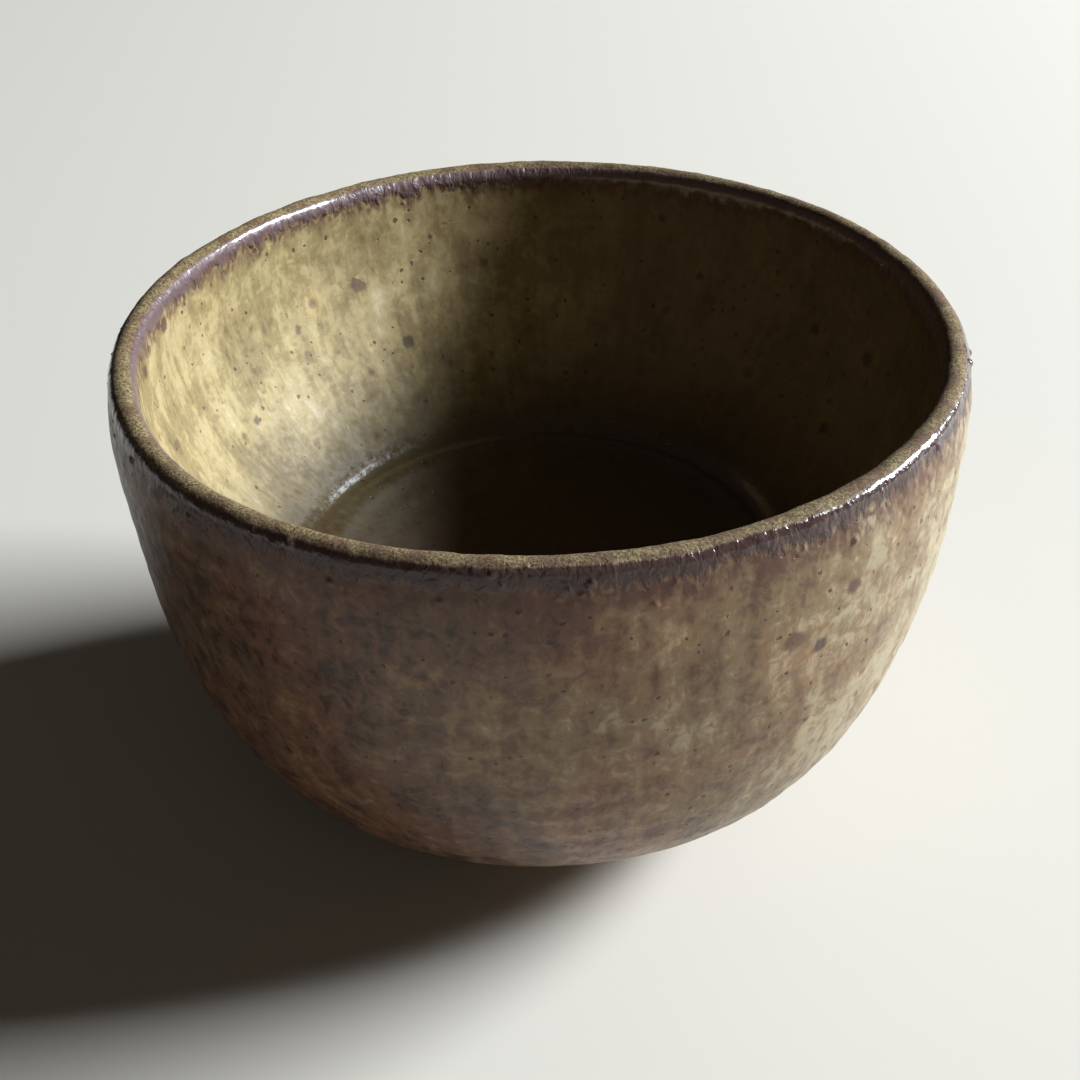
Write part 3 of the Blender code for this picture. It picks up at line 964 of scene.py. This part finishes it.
def glaze_material(name, side):
    """A fired glaze coat for the inside, the outside or the rim, where the two meet."""
    material = bpy.data.materials.new(name)
    material.use_nodes = True
    tree = material.node_tree
    shader = tree.nodes["Principled BSDF"]
    place = add(tree, "ShaderNodeTexCoord").outputs["Object"]
    flow = add(tree, "ShaderNodeAttribute", attribute_name="flow").outputs["Vector"]
    crater = add(tree, "ShaderNodeAttribute", attribute_name="crater").outputs["Fac"]
    along = add(tree, "ShaderNodeSeparateXYZ", {0: flow}).outputs[2]
    band = use_group(tree, LIP_BAND, {"Flow": flow, "Place": place}).outputs
    grain = use_group(tree, FIRED_GRAIN, {"Flow": flow, "Place": place}).outputs
    outer = {"inside": 0.0, "outside": 1.0, "rim": band["Outside"]}[side]

    if side == "inside":
        colour = inside_wall(tree, flow, place)
    elif side == "outside":
        colour = outside_wall(tree, flow, place)
    else:
        ochre = inside_wall(tree, flow, place)
        colour = blend_colour(tree, outer, ochre, outside_wall(tree, flow, place))
    colour, pits = spotted(tree, colour, place, along, crater, grain)
    colour = dipped_lip(tree, colour, place, outer, band, grain)
    tree.links.new(colour, shader.inputs["Base Color"])

    roughness, coat_weight = glaze_gloss(tree, along, outer, band, grain)
    tree.links.new(roughness, shader.inputs["Roughness"])
    tree.links.new(coat_weight, shader.inputs["Coat Weight"])
    shader.inputs["Coat Roughness"].default_value = GLAZE_COAT_ROUGHNESS
    shader.inputs["IOR"].default_value = GLAZE_IOR
    shader.inputs["Specular IOR Level"].default_value = GLAZE_SPECULAR

    dry_grit = times(tree, grain["Grit"], band["Dry"])
    band_beads = times(tree, grain["Beads"], band["Band"])
    heights = ((grain["Peel"], 0.40), (dry_grit, 0.9), (band_beads, 2.2), (pits, -1.0))
    height = scaled_sum(tree, *heights)
    bump = add(tree, "ShaderNodeBump", {"Height": height, "Strength": 1.0, "Distance": GLAZE_BUMP})
    tree.links.new(bump.outputs["Normal"], shader.inputs["Normal"])
    return material


def clay_material(name, pale, dark):
    """Bare fired stoneware: warm, matte, with iron specks, sand and faint turning lines."""
    material = bpy.data.materials.new(name)
    material.use_nodes = True
    tree = material.node_tree
    shader = tree.nodes["Principled BSDF"]
    place = add(tree, "ShaderNodeTexCoord").outputs["Object"]
    patches = noise(tree, place, 90.0, 4.0, 0.6)
    sand = noise(tree, place, 2200.0, 3.0, 0.7)
    specks = use_group(tree, IRON_SPOTS, {"Place": place, **SPECKS}).outputs
    parts = add(tree, "ShaderNodeSeparateXYZ", {0: place}).outputs
    lines = noise(tree, add(tree, "ShaderNodeCombineXYZ", {2: parts[2]}).outputs[0], 1300.0, 2.0)
    colour = blend_colour(tree, ramp(tree, patches, 0.35, 0.68), dark, pale)
    colour = blend_colour(tree, ramp(tree, sand, 0.50, 0.75, 0.0, 0.35), colour, SAND_COLOUR)
    colour = blend_colour(tree, times(tree, specks["Spot"], 0.8), colour, SPOT_COLOUR)
    tree.links.new(colour, shader.inputs["Base Color"])
    tree.links.new(ramp(tree, sand, 0.3, 0.7, 0.72, 0.92), shader.inputs["Roughness"])
    height = scaled_sum(tree, (sand, 0.6), (lines, 0.4))
    bump = add(tree, "ShaderNodeBump", {"Height": height, "Strength": 1.0, "Distance": CLAY_BUMP})
    tree.links.new(bump.outputs["Normal"], shader.inputs["Normal"])
    return material


def dress(piece, material, node):
    """Gives a piece its material and its body, and hides the model's part that it stands for."""
    piece.data.materials.append(material)
    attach(piece, "root")
    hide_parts(node)


# ---------------------------------------------------------------- stage

CAMERA_PITCH = 34.8
CAMERA_ROLL = -1.4
CAMERA_DISTANCE = 243.2 * MM
SENSOR = 36.0
LENS = 56.667

# How far the line to the middle of the lip leans from the camera's axis, as slopes
AIM_ACROSS = 0.0033
AIM_UP = 0.1301

# Lights: azimuth and elevation in degrees, distance, width and height, watts, colour
KEY_LIGHT = (12.5, 28.5, 2.85, (1.20, 0.60), 270.0, (0.86, 0.93, 1.0))
FRONT_FILL = (285.0, 22.0, 1.3, (1.1, 1.1), 1.1, (1.0, 0.88, 0.74))
WORLD_COLOUR = (1.0, 0.93, 0.84, 1.0)
WORLD_STRENGTH = 0.03
FLOOR_COLOUR = (0.54, 0.50, 0.44, 1.0)
FLOOR_ROUGHNESS = 0.8
FLOOR_REACH = 40.0


def place_camera():
    """A longish lens that looks down into the bowl from the front."""
    pitch = math.radians(CAMERA_PITCH)
    roll = math.radians(CAMERA_ROLL)
    forward = Vector((0.0, math.cos(pitch), -math.sin(pitch)))
    right = Vector((1.0, 0.0, 0.0))
    up = Vector((0.0, math.sin(pitch), math.cos(pitch)))
    sight = forward + right * AIM_ACROSS + up * AIM_UP
    lip_middle = Vector((CENTRE_SHIFT[0], CENTRE_SHIFT[1], HEIGHT))
    rolled_right = math.cos(roll) * right + math.sin(roll) * up
    rolled_up = math.cos(roll) * up - math.sin(roll) * right
    data = bpy.data.cameras.new("camera")
    data.sensor_width = SENSOR
    data.lens = LENS
    data.clip_start = 0.01
    camera = bpy.data.objects.new("camera", data)
    turn = Matrix((rolled_right, rolled_up, -forward)).transposed().to_4x4()
    camera.matrix_world = Matrix.Translation(lip_middle - sight * CAMERA_DISTANCE) @ turn
    bpy.context.scene.collection.objects.link(camera)
    bpy.context.scene.camera = camera


def soft_light(name, azimuth, elevation, distance, size, power, colour):
    """A soft light that faces the bowl from an azimuth, counted from +X towards +Y."""
    data = bpy.data.lights.new(name, "AREA")
    data.shape = "RECTANGLE"
    data.size, data.size_y = size
    data.energy = power
    data.color = colour
    light = bpy.data.objects.new(name, data)
    turn, rise = math.radians(azimuth), math.radians(elevation)
    level = math.cos(rise)
    towards = Vector((level * math.cos(turn), level * math.sin(turn), math.sin(rise)))
    light.location = Vector((0.0, 0.0, HEIGHT / 2.0)) + towards * distance
    light.rotation_euler = towards.to_track_quat("Z", "Y").to_euler()
    bpy.context.scene.collection.objects.link(light)


def stage():
    """A plain pale floor, a soft key light from the right and a little behind, and low fill."""
    mesh = bpy.data.meshes.new("floor")
    signs = ((-1.0, -1.0), (1.0, -1.0), (1.0, 1.0), (-1.0, 1.0))
    corners = [(FLOOR_REACH * x, FLOOR_REACH * y, 0.0) for x, y in signs]
    mesh.from_pydata(corners, [], [(0, 1, 2, 3)])
    floor = bpy.data.objects.new("floor", mesh)
    bpy.context.scene.collection.objects.link(floor)
    material = bpy.data.materials.new("floor")
    material.use_nodes = True
    shader = material.node_tree.nodes["Principled BSDF"]
    shader.inputs["Base Color"].default_value = FLOOR_COLOUR
    shader.inputs["Roughness"].default_value = FLOOR_ROUGHNESS
    mesh.materials.append(material)
    soft_light("key", *KEY_LIGHT)
    soft_light("front fill", *FRONT_FILL)
    world = bpy.data.worlds.new("studio")
    world.use_nodes = True
    background = world.node_tree.nodes["Background"]
    background.inputs["Color"].default_value = WORLD_COLOUR
    background.inputs["Strength"].default_value = WORLD_STRENGTH
    bpy.context.scene.world = world
    bpy.context.scene.view_settings.view_transform = "Standard"


def main():
    """Makes every piece, dresses it, and sets the stage."""
    place_camera()
    stage()
    waist = along_at_depth(WAIST_DEPTH)
    rim = coat("rim_coat", RIM_INSIDE, RIM_OUTSIDE, RIM_ROW, RIM_COLUMNS)
    dress(rim, glaze_material("rim_glaze", "rim"), "rim_glaze")
    inside = coat("inside_coat", FLOOR_MIDDLE, RIM_INSIDE, ROW, COLUMNS)
    dress(inside, glaze_material("inside_glaze", "inside"), "inside_glaze")
    outside = coat("outside_coat", RIM_OUTSIDE, waist, ROW, COLUMNS, waist_run)
    dress(outside, glaze_material("outside_glaze", "outside"), "outside_glaze")
    dress(bare_body(), clay_material("clay", *BODY_CLAY), "clay_body")
    dress(foot(), clay_material("foot_clay", *FOOT_CLAY), "foot_ring")


main()
